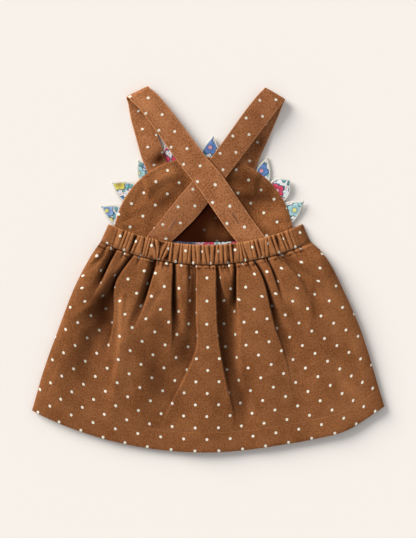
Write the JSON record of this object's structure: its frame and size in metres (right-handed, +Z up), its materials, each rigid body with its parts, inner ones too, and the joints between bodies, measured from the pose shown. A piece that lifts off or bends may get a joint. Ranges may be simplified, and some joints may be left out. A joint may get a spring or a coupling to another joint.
{
  "type": "pinafore dress",
  "caption": "Toddler's pinafore dress in dotted needlecord, laid face down: round bib with petal trim, crossed back straps, elastic back waist and gathered skirt.",
  "frame": {"origin": "on the surface that the dress lies on, under the middle of its bounding box", "axes": "+Z up, away from the surface and out of the back of the dress; +Y from the hem to the shoulders; +X to the right as the back is seen"},
  "size_m": [0.4059, 0.422, 0.0159],
  "materials": {
    "needlecord": "fine-wale cotton corduroy in tan brown, printed with small cream dots",
    "needlecord_lining": "the same dotted needlecord, seen as the bib's lining",
    "floral_cotton": "plain-weave cotton with a small multicoloured flower print, edges closely stitched in cream"
  },
  "bodies": {
    "root": {"bib_front": "needlecord", "bib_lining": "needlecord_lining", "petal_1": "floral_cotton", "petal_2": "floral_cotton", "petal_3": "floral_cotton", "petal_4": "floral_cotton", "petal_5": "floral_cotton", "petal_6": "floral_cotton", "petal_7": "floral_cotton", "petal_8": "floral_cotton", "petal_9": "floral_cotton", "strap_left": "needlecord", "strap_right": "needlecord", "waistband_front": "needlecord", "waistband_facing": "floral_cotton", "waistband_back": "needlecord", "skirt_front": "needlecord", "skirt_back": "needlecord"}
  },
  "joints": []
}
